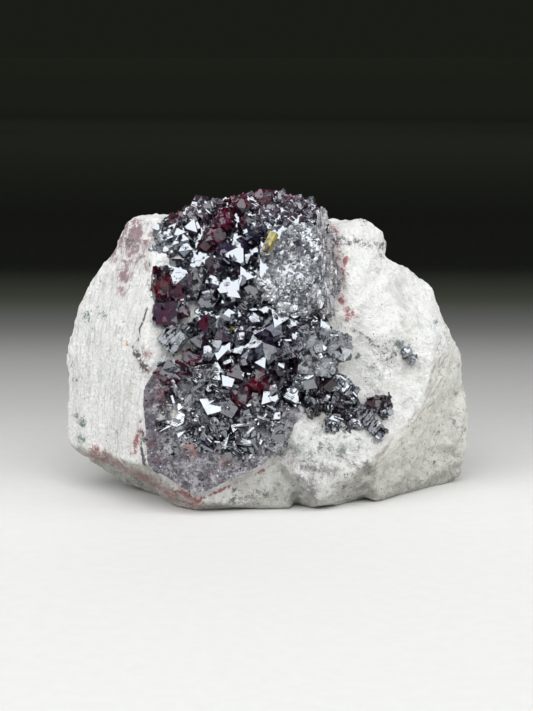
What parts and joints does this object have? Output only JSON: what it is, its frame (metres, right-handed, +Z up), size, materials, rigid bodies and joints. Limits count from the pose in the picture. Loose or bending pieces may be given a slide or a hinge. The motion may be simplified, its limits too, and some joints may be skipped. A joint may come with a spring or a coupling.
{
  "type": "cuprite on matrix",
  "caption": "Dark red to grey-black cuprite crystals and massive cuprite crust on a pale altered rock matrix.",
  "frame": {"origin": "middle of the base, under the middle of the bounding box", "axes": "+X to the right as seen from the crystal side, +Y toward the bare back, +Z up"},
  "size_m": [0.061, 0.038, 0.0454],
  "materials": {
    "pale_matrix": "matte",
    "cuprite_crystal": "polished",
    "massive_cuprite": "satin"
  },
  "bodies": {
    "root": {"matrix": "pale_matrix", "cuprite_cluster": "cuprite_crystal", "cuprite_crust": "massive_cuprite", "left_crystals": "cuprite_crystal", "purple_crystal": "cuprite_crystal", "striated_crystal": "cuprite_crystal", "lower_right_crystals": "cuprite_crystal", "ledge_crystals": "cuprite_crystal"}
  },
  "joints": []
}
